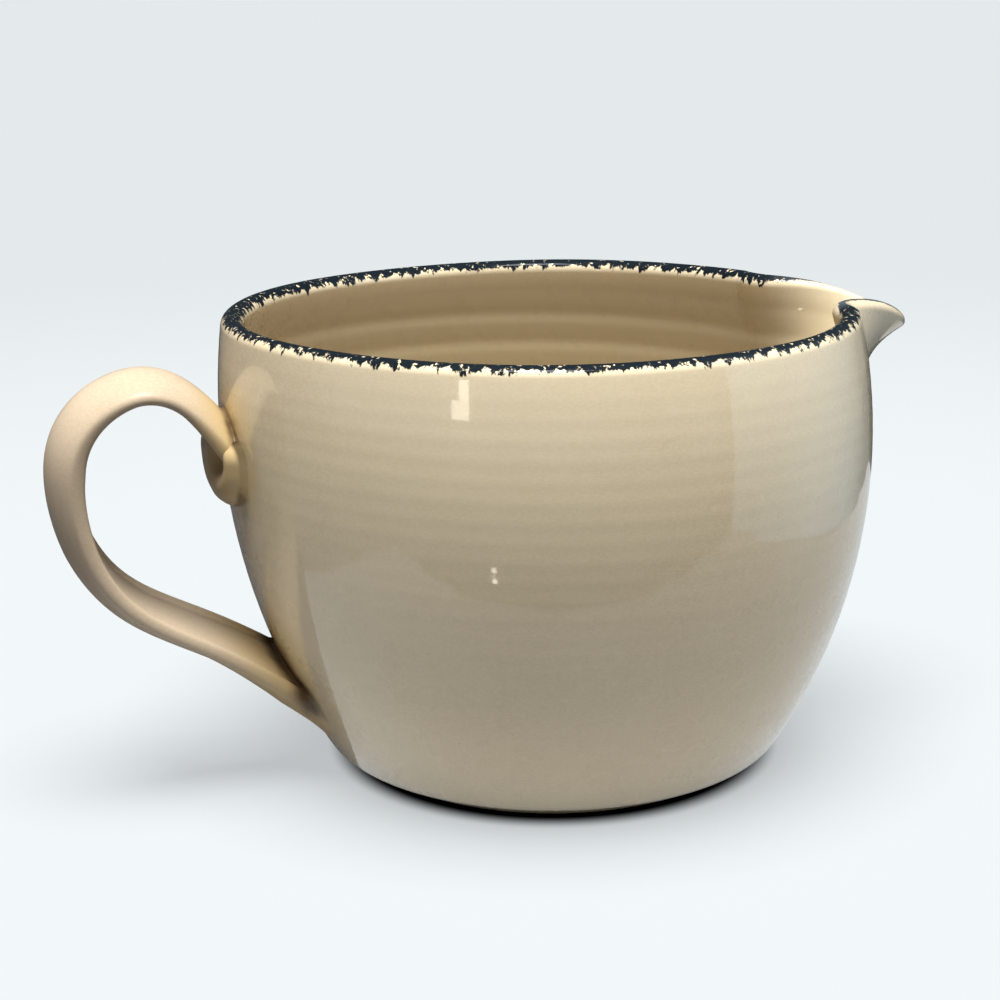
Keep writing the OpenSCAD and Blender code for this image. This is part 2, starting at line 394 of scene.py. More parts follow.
print("section length", round(reach[-1], 1), "mm, marks up to", round(np.abs(marks).max(), 2))

# %% [markdown]
# Soft clay also sags. Cut from the wheel and set down, the pot went a little out of round,
# its rim waves, and it leans a hair, which shows in how the rim lies over the foot. One
# function moves any points as the pot moved, so handle, coil and spout stay on the wall.

# %% The pot settles a little out of round
LEAN = 3.0
LEAN_ANGLE = math.radians(-18)
SAG = 0.35
WAVE = 0.3
SMALL_WAVE = 0.12


def settle(points):
    """Moves points as the soft pot moved: out of round, a wave in the rim, and a lean."""
    x, y, z = points[..., 0], points[..., 1], points[..., 2]
    phi = np.arctan2(y, x)
    share = np.clip(z, 0, None) / RIM_H
    out = SAG * share**2 * np.cos(2 * phi + 1.0)
    rise = share**4 * (WAVE * np.sin(2 * phi + 0.6) + SMALL_WAVE * np.sin(5 * phi + 2.0))
    lean = -LEAN * share**2
    return np.stack([
        x + out * np.cos(phi) + lean * math.cos(LEAN_ANGLE),
        y + out * np.sin(phi) + lean * math.sin(LEAN_ANGLE),
        z + rise,
    ], axis=-1)


pot = settle(thrown_grid)
pot_normals = grid_normals(pot)
pot_normals[0] = (0, 0, -1)
pot_normals[-1] = (0, 0, 1)
recess = settle(lip_rows(BAND_T))
row_numbers = np.arange(len(reach))
from_crest = reach - np.interp(LIP_START + LIP_STEPS / 2, row_numbers, reach)
rim_heights = pot[LIP_START + LIP_STEPS // 2, :, 2]
print("rim between", round(rim_heights.min(), 2), "and", round(rim_heights.max(), 2), "mm")

# %% [markdown]
# ## From grid to mesh
#
# Each piece is a closed skin. The helper below makes the mesh in metres, drops points that no
# face uses, turns the faces outwards, and shades it smooth with the grid's own normals. It
# also stores marks on the points that the glaze will need, such as how far each lies from
# the crest of the lip.

# %% Mesh helpers
def signed_volume(points, faces):
    """Volume inside the faces, which is negative where they look inwards."""
    total = 0.0
    for block in faces:
        for k in range(1, block.shape[1] - 1):
            a, b, c = points[block[:, 0]], points[block[:, k]], points[block[:, k + 1]]
            total += np.sum(a * np.cross(b, c)) / 6
    return total


def make_piece(name, points, faces, normals, **marks):
    used = np.unique(np.concatenate([np.asarray(f).ravel() for f in faces]))
    place = np.full(len(points), -1)
    place[used] = np.arange(len(used))
    turned_in = signed_volume(points, faces) < 0
    way = -1 if turned_in else 1
    corners = [tuple(int(place[i]) for i in f[::way]) for block in faces for f in block]
    mesh = bpy.data.meshes.new(name)
    mesh.from_pydata((points[used] * MM).tolist(), [], corners)
    mesh.validate()
    mesh.polygons.foreach_set("use_smooth", [True] * len(mesh.polygons))
    for mark, values in marks.items():
        layer = mesh.attributes.new(mark, "FLOAT", "POINT")
        layer.data.foreach_set("value", values[used].astype(np.float32))
    mesh.normals_split_custom_set_from_vertices(normals[used].tolist())
    piece = bpy.data.objects.new(name, mesh)
    bpy.context.scene.collection.objects.link(piece)
    print(name, "has", len(mesh.vertices), "points and", len(mesh.polygons), "faces")
    return piece


def quads(numbers, closed=False):
    """Faces between neighbouring rows and columns of an array of point numbers."""
    after = np.roll(numbers, -1, axis=1) if closed else numbers[:, 1:]
    here = numbers if closed else numbers[:, :-1]
    return np.stack([here[:-1], after[:-1], after[1:], here[1:]], axis=-1).reshape(-1, 4)


def across_ring(ring, flip=False):
    """Faces over the open end of a ring, between point k and the point facing it."""
    half = len(ring) // 2
    near, far = ring[:half], ring[::-1][:half]
    faces = np.stack([near[:-1], far[:-1], far[1:], near[1:]], axis=-1)
    return faces[:, ::-1] if flip else faces


# %% [markdown]
# ## Piece 1: the pulled strap
#
# A strap handle is pulled from a lump of wet clay with a wet hand, stuck to the shoulder, and
# looped down. Its middle line is a smooth curve steered by a few points, given as shares of
# the handle's reach and height. The section is crowned outside and flat inside, with a soft
# bead along each edge where the thumb ran.

# %% The strap's middle line
HANDLE_REACH = 139.0
HANDLE_TOP_H = 115.0
HANDLE_TOE_H = 20.0
STRAP_W = 28.0
STRAP_T = 10.0
STRAP_PATH_SHARES = np.array([
    (-0.55, 0.58),
    (-0.28, 0.68),
    (0.00, 0.805),
    (0.30, 1.02),
    (0.68, 0.995),
    (0.97, 0.86),
    (0.95, 0.60),
    (0.717, 0.371),
    (0.141, 0.245),
    (-0.428, 0.05),
    (-0.81, -0.112),
    (-1.19, -0.23),
])
path_points = np.stack([
    BELLY_R + STRAP_PATH_SHARES[:, 0] * (HANDLE_REACH - BELLY_R),
    HANDLE_TOE_H + STRAP_PATH_SHARES[:, 1] * (HANDLE_TOP_H - HANDLE_TOE_H),
], axis=-1)
STRAP_SPANS = len(path_points) - 3


def strap_middle(t):
    """Point (reach, height) of the strap's middle line, and its direction."""
    t = np.clip(t, 0, STRAP_SPANS)
    i = np.minimum(t.astype(int), STRAP_SPANS - 1)
    f = (t - i)[..., None]
    p = [path_points[i + k] for k in range(4)]
    point = (
        (1 - f) ** 3 * p[0]
        + (3 * f**3 - 6 * f**2 + 4) * p[1]
        + (-3 * f**3 + 3 * f**2 + 3 * f + 1) * p[2]
        + f**3 * p[3]
    ) / 6
    ahead = (
        -3 * (1 - f) ** 2 * p[0]
        + (9 * f**2 - 12 * f) * p[1]
        + (-9 * f**2 + 6 * f + 3) * p[2]
        + 3 * f**2 * p[3]
    ) / 6
    return point, unit(ahead)


# %% [markdown]
# The section is drawn as half a line, from the middle of the inside round the edge to the
# middle of the crown, in shares of the half width and of the thickness. A smooth curve through
# its points gives the rounded lines that a wet hand leaves. The dip before the edge makes the
# bead.

# %% The strap's section
STRAP_SECTION = [
    (0.0, -0.20),
    (0.40, -0.19),
    (0.64, -0.16),
    (0.75, -0.135),
    (0.88, -0.21),
    (0.97, -0.15),
    (1.0, 0.0),
    (0.95, 0.13),
    (0.76, 0.33),
    (0.42, 0.53),
    (0.0, 0.62),
]
STRAP_LINES = 80
SECTION_STEPS = 40


def round_section(half, count):
    """The half section mirrored and rounded into one closed smooth line of count points."""
    left = [(-a, b) for a, b in half[-2:0:-1]]
    knots = np.array(half + left)
    n = len(knots)
    t = np.linspace(0, n, SECTION_STEPS * n, endpoint=False)
    i, f = t.astype(int), (t % 1)[:, None]
    p = [knots[(i + k - 1) % n] for k in range(4)]
    dense = 0.5 * (
        2 * p[1]
        + (p[2] - p[0]) * f
        + (2 * p[0] - 5 * p[1] + 4 * p[2] - p[3]) * f**2
        + (3 * p[1] - p[0] - 3 * p[2] + p[3]) * f**3
    )
    size = dense * [STRAP_W / 2, STRAP_T]
    steps = np.linalg.norm(np.roll(size, -1, axis=0) - size, axis=1)
    at = np.concatenate([[0], np.cumsum(steps)])
    wanted = np.linspace(0, at[-1], count, endpoint=False)
    ring = np.concatenate([dense, dense[:1]])
    return np.stack([np.interp(wanted, at, ring[:, k]) for k in range(2)], axis=-1)


section = round_section(STRAP_SECTION, STRAP_LINES)
section_size = np.ptp(section, axis=0) * [STRAP_W / 2, STRAP_T]
print("strap section", [round(float(side), 1) for side in section_size], "mm")

# %% [markdown]
# The strap's lines run from wall to wall, and each is cut where it meets the wall. On the way
# the section changes: it is pulled thin over the arch, thick at both roots, and wider where
# the ends were spread on the wall. The lower run is turned a little, as wet clay twists.

# %% Lines of the strap, and where they meet the wall
TOP_FLARE = 4.5
TOE_FLARE = 9.0
FLARE_SHARE = 0.22
GROWTH_AT = [0.0, 0.9, 1.8, 2.6, 4.2, 5.2, 6.9, 7.8, 9.0]
INNER_GROWTH = [2.0, 1.7, 0.9, 0.8, 1.6, 1.4, 1.4, 1.4, 1.4]
CROWN_GROWTH = [1.0, 1.0, 1.0, 1.0, 1.0, 0.95, 0.67, 1.13, 1.13]
TWIST = math.radians(8.8)
TWIST_AT = (4.2, 8.2)


def flare_at(share):
    top = np.clip(1 - share / FLARE_SHARE, 0, None) ** 2
    toe = np.clip(1 - (1 - share) / FLARE_SHARE, 0, None) ** 2
    return TOP_FLARE * top + TOE_FLARE * toe


def growth(t):
    """Thickness shares along the strap, one for the inside and one for the crown."""
    return np.interp(t, GROWTH_AT, INNER_GROWTH), np.interp(t, GROWTH_AT, CROWN_GROWTH)


def twist(t):
    """The lower run is turned a little, so that its inside looks up to the near side."""
    share = np.clip((t - TWIST_AT[0]) / (TWIST_AT[1] - TWIST_AT[0]), 0, 1)
    return TWIST * share * share * (3 - 2 * share)


def strap_lines(t):
    """Points of all the strap's lines at the curve's parameters t, one column a line."""
    point, ahead = strap_middle(t)
    out = np.stack([-ahead[..., 1], ahead[..., 0]], axis=-1)
    inner, outer = growth(t)
    high = STRAP_T * section[:, 1] * np.where(section[:, 1] < 0, inner, outer)
    wide = (STRAP_W / 2 + flare_at(t / STRAP_SPANS)) * section[:, 0]
    turn = twist(t)
    flat = point + out * (high * np.cos(turn) - wide * np.sin(turn))[..., None]
    across = wide * np.cos(turn) + high * np.sin(turn)
    return np.stack([-flat[..., 0], across, flat[..., 1]], axis=-1)


def wall_out(z):
    return ARC_X + np.sqrt(WALL_ARC_R**2 - (z - BELLY_H) ** 2)


def wall_point(along, z, lift=0.0):
    """Point on the outside at a distance along its girth from the handle's side."""
    r = wall_out(z)
    turn = along / r
    tilt = np.arcsin((z - BELLY_H) / WALL_ARC_R)
    out = r + lift * np.cos(tilt)
    return np.stack([-out * np.cos(turn), out * np.sin(turn), z + lift * np.sin(tilt)], axis=-1)


def wall_normal_at(along, z):
    return wall_point(along, z, 1.0) - wall_point(along, z)


FINE_STEPS = 1801
END_MARGIN = 0.02
LEAST_H = 5.0

fine = np.linspace(END_MARGIN, STRAP_SPANS - END_MARGIN, FINE_STEPS)
fine_lines = strap_lines(np.repeat(fine[:, None], STRAP_LINES, axis=1))
fine_r = np.hypot(fine_lines[..., 0], fine_lines[..., 1])
outside_wall = fine_r > wall_out(np.clip(fine_lines[..., 2], LEAST_H, None))
middle_row = len(fine) // 2
first_out = middle_row - np.argmax(~outside_wall[middle_row::-1], axis=0) + 1
last_out = middle_row + np.argmax(~outside_wall[middle_row:], axis=0) - 1
leaving_h = fine_lines[first_out, np.arange(STRAP_LINES), 2]
meeting_h = fine_lines[last_out, np.arange(STRAP_LINES), 2]
print("lines leave the wall at heights", round(leaving_h.min(), 1), "to", round(leaving_h.max(), 1))

# %% [markdown]
# A finger smooths each joint, so no line ends in a hard corner on the wall. Each is cut back a
# little and led into the wall by a short curve: a tight one in the crease under the strap,
# and a long feathered one at the toe, whose end was wiped down the belly. The last ring is
# tucked under the glaze of the wall, so that no gap can show.

# %% The fillets at both roots
ROOT_STEPS = 9
TUCK = 0.9
TUCK_RUN = 0.6
ROOT_SINK = 0.12
BODY_ROWS = 130
CROWN_SHARE = 0.62
EDGE_SHARE = 0.4
TOP_BACK = (2.6, 2.2)
TOP_SPREAD = (1.8, 2.2)
TOE_BACK = (1.6, 4.0, 6.0)
TOE_SPREAD = (1.0, 3.0, 3.0)


def smooth_round(values, times):
    for _ in range(times):
        values = (np.roll(values, 1, axis=0) + 2 * values + np.roll(values, -1, axis=0)) / 4
    return values


def footprint(rows):
    """The strap's outline on the wall as (along the girth, height), and its outward way."""
    at = fine_lines[rows, np.arange(STRAP_LINES)]
    turn = np.arctan2(at[:, 1], -at[:, 0])
    outline = np.stack([turn * wall_out(at[:, 2]), at[:, 2]], axis=-1)
    outline = smooth_round(outline, 2)
    chord = np.roll(outline, -1, axis=0) - np.roll(outline, 1, axis=0)
    way = unit(np.stack([chord[:, 1], -chord[:, 0]], axis=-1))
    if np.sum(way * (outline - outline.mean(axis=0))) < 0:
        way = -way
    return outline, unit(smooth_round(way, 4))


def root(rows, back, spread, step):
    """Rows of points from the wall to the strap: back is how far each line is cut, and
    spread how far its curve runs out on the wall, both in millimetres for each line."""
    outline, way = footprint(rows)
    lines = np.arange(STRAP_LINES)
    spacing = np.linalg.norm(np.diff(fine_lines, axis=0), axis=-1)
    length = np.concatenate([np.zeros((1, STRAP_LINES)), np.cumsum(spacing, axis=0)])
    start_t = np.empty(STRAP_LINES)
    for line in lines:
        wanted = length[rows[line], line] + step * back[line]
        start_t[line] = np.interp(wanted, length[:, line], fine)
    on_strap = strap_lines(start_t[None])[0]
    ends = outline + spread[:, None] * way
    on_wall = wall_point(ends[:, 0], ends[:, 1], -ROOT_SINK)
    knee = wall_point(outline[:, 0], outline[:, 1])
    tucked_ends = ends + TUCK_RUN * way
    tucked = wall_point(tucked_ends[:, 0], tucked_ends[:, 1], -TUCK)
    f = np.linspace(0, 1, ROOT_STEPS)[:, None, None]
    curve = (1 - f) ** 2 * on_wall + 2 * f * (1 - f) * knee + f**2 * on_strap
    flat_normals = wall_normal_at(ends[:, 0], ends[:, 1])
    return np.concatenate([tucked[None], curve]), start_t, flat_normals


crown = np.clip(section[:, 1] / CROWN_SHARE, 0, 1)
edge = np.clip(1 - np.abs(section[:, 1]) / EDGE_SHARE, 0, 1)
top_back = TOP_BACK[0] + TOP_BACK[1] * edge
top_spread = TOP_SPREAD[0] + TOP_SPREAD[1] * edge
toe_back = TOE_BACK[0] + TOE_BACK[1] * edge + TOE_BACK[2] * crown
toe_spread = TOE_SPREAD[0] + TOE_SPREAD[1] * edge + TOE_SPREAD[2] * crown
top_root, t_top, top_wall_normals = root(first_out, top_back, top_spread, 1)
toe_root, t_toe, toe_wall_normals = root(last_out, toe_back, toe_spread, -1)
print("the toe is spread over", round(float(np.ptp(toe_root[1][:, 1])), 1), "mm of the girth")

# %% [markdown]
# Glaze pools in the creases where the handle meets the wall, and the glaze there is painted with
# pooled colour, painted light bounced off the strap and painted shade: all round the upper root,
# and in the angle above the toe. Each mesh therefore stores how far its points lie from those
# creases, and the glaze reads it.

# %% How far a point lies from the handle's joints
FAR = 60.0
AT_ONCE = 4000
joints = []
for rows in (first_out, last_out):
    outline, _ = footprint(rows)
    if rows is last_out:
        outline = outline[outline[:, 1] > outline[:, 1].mean()]
    joints.append(settle(wall_point(outline[:, 0], outline[:, 1])))
joints = np.concatenate(joints)


def joint_distance(points):
    """Distance in millimetres of each point from the nearest crease, up to a far one."""
    distance = np.full(len(points), FAR)
    near = np.flatnonzero(points[:, 0] < 0)
    for block in np.array_split(near, 1 + len(near) // AT_ONCE):
        apart = np.linalg.norm(points[block, None] - joints[None], axis=-1)
        distance[block] = np.minimum(apart.min(axis=1), FAR)
    return distance


print(len(joints), "points along the creases")

# %% [markdown]
# The rows of the upper root, the body and the toe are stacked to one tube, and a point behind
# the glaze closes each end, so that the strap is one solid piece of clay.

# %% Make the strap
TOP_CAP_H = 100.0

shares = np.linspace(0, 1, BODY_ROWS)[:, None]
strap_body = strap_lines(t_top * (1 - shares) + t_toe * shares)
strap_rows = settle(np.concatenate([top_root, strap_body[1:-1], toe_root[::-1]]))
strap_normals = grid_normals(strap_rows)
half_way = len(strap_rows) // 2
from_middle = strap_rows[half_way] - strap_rows[half_way].mean(axis=0)
if np.sum(strap_normals[half_way] * from_middle) < 0:
    strap_normals = -strap_normals
strap_normals[1], strap_normals[-2] = top_wall_normals, toe_wall_normals
top_cap = settle(wall_point(0.0, TOP_CAP_H, -TUCK))
toe_cap = settle(wall_point(0.0, meeting_h.mean(), -TUCK))
strap_points = np.concatenate([strap_rows.reshape(-1, 3), [top_cap, toe_cap]])
strap_all_normals = np.concatenate([strap_normals.reshape(-1, 3), [[1, 0, 0], [1, 0, 0]]])
numbers = np.arange(strap_rows.shape[0] * STRAP_LINES).reshape(-1, STRAP_LINES)
cap_numbers = np.full(STRAP_LINES, numbers.size)
strap_faces = [
    quads(numbers, closed=True),
    np.stack([cap_numbers, np.roll(numbers[0], -1), numbers[0]], axis=-1),
    np.stack([cap_numbers + 1, numbers[-1], np.roll(numbers[-1], -1)], axis=-1),
]
pulled_strap = make_piece(
    "pulled_strap",
    strap_points,
    strap_faces,
    strap_all_normals,
    from_joint=joint_distance(strap_points),
)

# %% [markdown]
# ## Piece 2: the thumbed coil
#
# A roll of soft clay was pressed into the corner under the strap's upper end to hold it, and
# then thumbed down onto the wall. It is a low mound on the wall, made as rings round its
# middle: for each ring and turn, how far along the girth, how high, and how far off the wall.
# A ridge was pushed up on the near side, with the print of the thumb inside it.

# %% The mound of the coil
COIL_H = 95.0
COIL_UP = 8.0
COIL_DOWN = 13.5
COIL_HALF_W = 19.5
COIL_OUT = 6.0
COIL_RINGS = 22
COIL_TURNS = 96
THUMB_AT = (-9.5, 96.5)
THUMB_R = 3.6
THUMB_DEPTH = 4.6
THUMB_STRETCH = 0.85
COIL_RIDGE = 0.9
COIL_RIDGE_AT = 0.72
COIL_RIDGE_W = 0.22
COIL_CORNER = 0.75
COIL_TAPER = 0.10
COIL_ROUND = 0.8

ring_share = np.linspace(0, 1, COIL_RINGS + 1)[1:, None]
turn = np.linspace(0, 2 * math.pi, COIL_TURNS, endpoint=False)
reach_z = np.where(np.sin(turn) > 0, COIL_UP, COIL_DOWN)
taper = 1 + COIL_TAPER * np.sin(turn)
square_cos = np.sign(np.cos(turn)) * np.abs(np.cos(turn)) ** COIL_CORNER
square_sin = np.sign(np.sin(turn)) * np.abs(np.sin(turn)) ** COIL_CORNER
coil_along = ring_share * COIL_HALF_W * square_cos * taper
coil_z = COIL_H + ring_share * reach_z * square_sin
coil_lift = COIL_OUT * (1 - ring_share**4) ** COIL_ROUND
near_side = np.clip(-np.cos(turn), 0, 1) ** 0.5
ridge = np.exp(-((ring_share - COIL_RIDGE_AT) / COIL_RIDGE_W) ** 2)
coil_lift = coil_lift + COIL_RIDGE * ridge * near_side
thumb = np.hypot(coil_along - THUMB_AT[0], (coil_z - THUMB_AT[1]) * THUMB_STRETCH) / THUMB_R
coil_lift = coil_lift - THUMB_DEPTH * np.exp(-thumb**2) * (1 - ring_share**6)
coil_lift[-1] = -TUCK
print("the coil stands", round(float(coil_lift.max()), 1), "mm off the wall at most")

# %% [markdown]
# The rings go onto the wall, with one point on top in the middle and one behind the wall, to
# close the mound to a solid. Its outer ring is tucked under the glaze, as the strap's is.

# %% Make the coil
coil_rows = settle(wall_point(coil_along, coil_z, coil_lift))
coil_middle = settle(wall_point(0.0, COIL_H, COIL_OUT))
coil_back = settle(wall_point(0.0, COIL_H, -1.5 * TUCK))
coil_points = np.concatenate([coil_rows.reshape(-1, 3), [coil_middle, coil_back]])
coil_normals = grid_normals(coil_rows)
coil_wall_way = wall_normal_at(coil_along, coil_z)
coil_normals = coil_normals * np.sign(np.sum(coil_normals * coil_wall_way, axis=-1, keepdims=True))
coil_normals[-2:] = coil_wall_way[-2:]
middle_way = wall_normal_at(0.0, COIL_H)
coil_normals = np.concatenate([coil_normals.reshape(-1, 3), [middle_way, -middle_way]])
numbers = np.arange(COIL_RINGS * COIL_TURNS).reshape(-1, COIL_TURNS)
middle_numbers = np.full(COIL_TURNS, numbers.size)
coil_faces = [
    quads(numbers, closed=True),
    np.stack([middle_numbers, np.roll(numbers[0], -1), numbers[0]], axis=-1),
    np.stack([middle_numbers + 1, numbers[-1], np.roll(numbers[-1], -1)], axis=-1),
]
thumbed_coil = make_piece(
    "thumbed_coil", coil_points, coil_faces, coil_normals, from_joint=joint_distance(coil_points)
)

# %% [markdown]
# ## Piece 3: the thrown bowl
#
# The bowl is the whole section on the plain columns. Within the spout's wedge it stops at the
# height where the spout begins, and the two sides of that cut are closed, as the solid model
# has it. Along the lip a half millimetre is left out for the slip of the band. First come its
# points, cut from the grid.

# %% Points of the bowl
columns = len(phis)
bowl_points = np.concatenate([pot[:LIP_START + 1], recess, pot[LIP_END:]])
recess_normals = grid_normals(recess)
bowl_normals = np.concatenate([
    pot_normals[:LIP_START + 1], recess_normals, pot_normals[LIP_END:],
])
lip_reach = from_crest[LIP_START:LIP_END + 1]
bowl_reach = np.concatenate([from_crest[:LIP_START + 1], lip_reach, from_crest[LIP_END:]])
bowl_reach = np.repeat(bowl_reach[:, None], columns, axis=1)
numbers = np.arange(bowl_points.shape[0] * columns).reshape(-1, columns)
low_in = SPOUT_END + len(bowl_points) - len(pot)
print("the bowl has", numbers.shape[0], "rows and", columns, "columns")

# %% [markdown]
# Then come its faces: quads between rows, a bridge over the top of the cut wall, a face over
# each side of the cut, and a fan in the middle of the foot and of the floor.

# %% Make the thrown bowl
plain = np.concatenate([numbers[:, spout_columns - 1:], numbers[:, :1]], axis=1)
wedge = numbers[:, :spout_columns]
last = len(bowl_points) - 1
bowl_faces = [
    quads(plain[1:last]),
    quads(wedge[1:SPOUT_START + 1]),
    quads(wedge[[SPOUT_START, low_in]]),
    quads(wedge[low_in:last]),
    across_ring(wedge[SPOUT_START:low_in + 1, 0]),
    across_ring(wedge[SPOUT_START:low_in + 1, -1], flip=True),
]
under_ring, floor_ring = numbers[1], numbers[last - 1]
bowl_fans = [
    np.stack([np.full(columns, numbers[0, 0]), np.roll(under_ring, -1), under_ring], axis=-1),
    np.stack([np.full(columns, numbers[last, 0]), floor_ring, np.roll(floor_ring, -1)], axis=-1),
]
thrown_bowl = make_piece(
    "thrown_bowl",
    bowl_points.reshape(-1, 3),
    bowl_faces + bowl_fans,
    bowl_normals.reshape(-1, 3),
    from_lip=bowl_reach.ravel(),
    from_joint=joint_distance(bowl_points.reshape(-1, 3)),
)

# %% [markdown]
# ## Piece 4: the pulled spout
#
# The spout is the rest of the wedge, from where the wall begins to swell up to the lip. It is
# lofted column by column: each column gives a ring of points, up the outside, over the recess
# for the band, and down the inside.

# %% Make the spout
SLIP_FADES_AT = (-1.0, -0.84, 0.50, 0.72)


def loft(rings):
    """Faces of a solid through rings, one ring a row, with its two ends closed."""
    numbers = np.arange(rings.shape[0] * rings.shape[1]).reshape(rings.shape[:2])
    return [
        quads(numbers, closed=True)[:, ::-1],
        across_ring(numbers[0], flip=True),
        across_ring(numbers[-1]),
    ]


spout_share = np.interp(phis[:spout_columns] / SPOUT_ANGLE, SLIP_FADES_AT, (0, 1, 1, 0))
spout_ring_rows = np.arange(SPOUT_START, low_in + 1)
spout_rings = bowl_points[spout_ring_rows, :spout_columns].transpose(1, 0, 2)
spout_ring_normals = bowl_normals[spout_ring_rows, :spout_columns].transpose(1, 0, 2)
pulled_spout = make_piece(
    "pulled_spout",
    spout_rings.reshape(-1, 3),
    loft(spout_rings),
    spout_ring_normals.reshape(-1, 3),
    from_lip=bowl_reach[spout_ring_rows, :spout_columns].T.ravel(),
    from_joint=joint_distance(spout_rings.reshape(-1, 3)),
    on_spout=np.repeat(spout_share, spout_rings.shape[1]),
)

# %% [markdown]
# ## Pieces 5 and 6: the bands of slip
#
# Slip is liquid clay, dabbed on the rim before glazing. It has a thickness of its own, so each
# band is a thin shell over the lip: broad dabs on the bowl, and a thinner, greyer line where
# the sponge only brushed the spout.

# %% Make the bands
outer_skin = pot[LIP_START:LIP_END + 1]
outer_skin_normals = pot_normals[LIP_START:LIP_END + 1]
inner_skin_normals = -recess_normals
band_rings = np.concatenate([outer_skin, recess[::-1]]).transpose(1, 0, 2)
band_normals = np.concatenate([outer_skin_normals, inner_skin_normals[::-1]]).transpose(1, 0, 2)
band_reach = np.tile(np.concatenate([lip_reach, lip_reach[::-1]]), (columns, 1))


def make_band(name, chosen, shares):
    rings = band_rings[chosen]
    return make_piece(
        name,
        rings.reshape(-1, 3),
        loft(rings),
        band_normals[chosen].reshape(-1, 3),
        from_lip=band_reach[chosen].ravel(),
        from_joint=joint_distance(rings.reshape(-1, 3)),
        on_spout=np.repeat(shares, rings.shape[1]),
    )


plain_band_columns = list(range(spout_columns - 1, columns)) + [0]
no_share = np.zeros(len(plain_band_columns))
sponged_band = make_band("sponged_band", plain_band_columns, no_share)
brushed_band = make_band("brushed_spout_line", list(range(spout_columns)), spout_share)

# %% [markdown]
# ## The glaze
#
# The bowl has a cream glaze over stoneware. It is glossy, with a fine mottle, and a few iron
# specks have burnt through. A function builds it, so that bowl and handle can differ a little
# in tint. Colours are written as the eye reads them on a screen and turned into the linear
# numbers that the shader wants.

# %% Node helpers
def linear(*screen):
    """Screen colour with channels from 0 to 255 as linear numbers with full alpha."""
    share = [c / 255 for c in screen]
    return [c / 12.92 if c <= 0.04045 else ((c + 0.055) / 1.055) ** 2.4 for c in share] + [1.0]


def add(tree, kind, inputs=None, **settings):
    made = tree.nodes.new(kind)
    for key, value in settings.items():
        setattr(made, key, value)
    for key, value in (inputs or {}).items():
        if isinstance(value, bpy.types.NodeSocket):
            tree.links.new(value, made.inputs[key])
        else:
            made.inputs[key].default_value = value
    return made


def noise(tree, where, scale, detail=3.0, roughness=0.55):
    made = add(tree, "ShaderNodeTexNoise", {
        "Vector": where, "Scale": scale, "Detail": detail, "Roughness": roughness,
    })
    return made.outputs["Fac"]


def spread(tree, value, low, high, to_low=0.0, to_high=1.0, smooth=True):
    made = add(tree, "ShaderNodeMapRange", {
        "Value": value, "From Min": low, "From Max": high, "To Min": to_low, "To Max": to_high,
    })
    made.interpolation_type = "SMOOTHSTEP" if smooth else "LINEAR"
    return made.outputs["Result"]


def maths(tree, how, a, b):
    return add(tree, "ShaderNodeMath", {0: a, 1: b}, operation=how).outputs[0]


def mixed(tree, share, a, b):
    made = add(tree, "ShaderNodeMix", data_type="RGBA")
    for socket, value in ((made.inputs[0], share), (made.inputs[6], a), (made.inputs[7], b)):
        if isinstance(value, bpy.types.NodeSocket):
            tree.links.new(value, socket)
        else:
            socket.default_value = value
    return made.outputs[2]


def mark(tree, name):
    return add(tree, "ShaderNodeAttribute", attribute_name=name).outputs["Fac"]


print("a middle grey of 128 is", round(linear(128)[0], 3), "in linear numbers")

# %% [markdown]
# Under the eye the cream isn't one colour. Large soft clouds of a warmer cream come from how
# thick the glaze ran, and a fine paler grain from the clay under it. A clear coat over the
# colour gives the wet shine, because real glaze is a layer of glass. Scales of noise are
# counts per metre, so a grain of 900 is about a millimetre.

# %% The cream glaze
BOWL_CREAMS = (linear(206, 191, 160), linear(199, 182, 149), linear(216, 203, 176))
# The handle's darker, pinker creams are painted shade for the light that falls on the handle.
HANDLE_SHADED_CREAMS = (linear(171, 154, 131), linear(165, 147, 123), linear(181, 166, 146))
# The inside's darker cream is painted shade inside the bowl.
INSIDE_SHADE_CREAM = linear(170, 154, 123)
BROWN_POOL_AND_CREASE_SHADE = linear(62, 38, 15)
AMBER_POOL_AND_BOUNCE = linear(172, 146, 90)
IRON = linear(92, 70, 40)
GLASS_IOR = 1.5
CLOUD_SCALE = 9
GRAIN_SCALE = 900
GRAIN_FLATTENED = 2.2
GRAIN_SHARE = 0.40


def cream_glaze(name, gloss, gloss_rough, creams):
    """A new glaze material, its tree, its shader, its colour so far and where it is."""
    cream, warm, pale = creams
    material = bpy.data.materials.new(name)
    material.use_nodes = True
    tree = material.node_tree
    tree.nodes.clear()
    shader = add(tree, "ShaderNodeBsdfPrincipled")
    output = add(tree, "ShaderNodeOutputMaterial")
    tree.links.new(shader.outputs[0], output.inputs[0])
    shader.inputs["IOR"].default_value = GLASS_IOR
    shader.inputs["Coat Weight"].default_value = gloss
    shader.inputs["Coat Roughness"].default_value = gloss_rough
    shader.inputs["Coat IOR"].default_value = GLASS_IOR
    shader.inputs["Specular IOR Level"].default_value = 0.2
    where = add(tree, "ShaderNodeTexCoord").outputs["Object"]
    cloud = spread(tree, noise(tree, where, CLOUD_SCALE, 4), 0.35, 0.68)
    flat = add(tree, "ShaderNodeMapping", {
        "Vector": where, "Scale": (1.0, 1.0, GRAIN_FLATTENED),
    })
    grain = spread(tree, noise(tree, flat.outputs[0], GRAIN_SCALE, 3, 0.6), 0.36, 0.66)
    colour = mixed(tree, cloud, cream, warm)
    colour = mixed(tree, maths(tree, "MULTIPLY", grain, GRAIN_SHARE), colour, pale)
    return material, tree, shader, colour, where


print("creams for the bowl", len(BOWL_CREAMS), "and for the handle", len(HANDLE_SHADED_CREAMS))
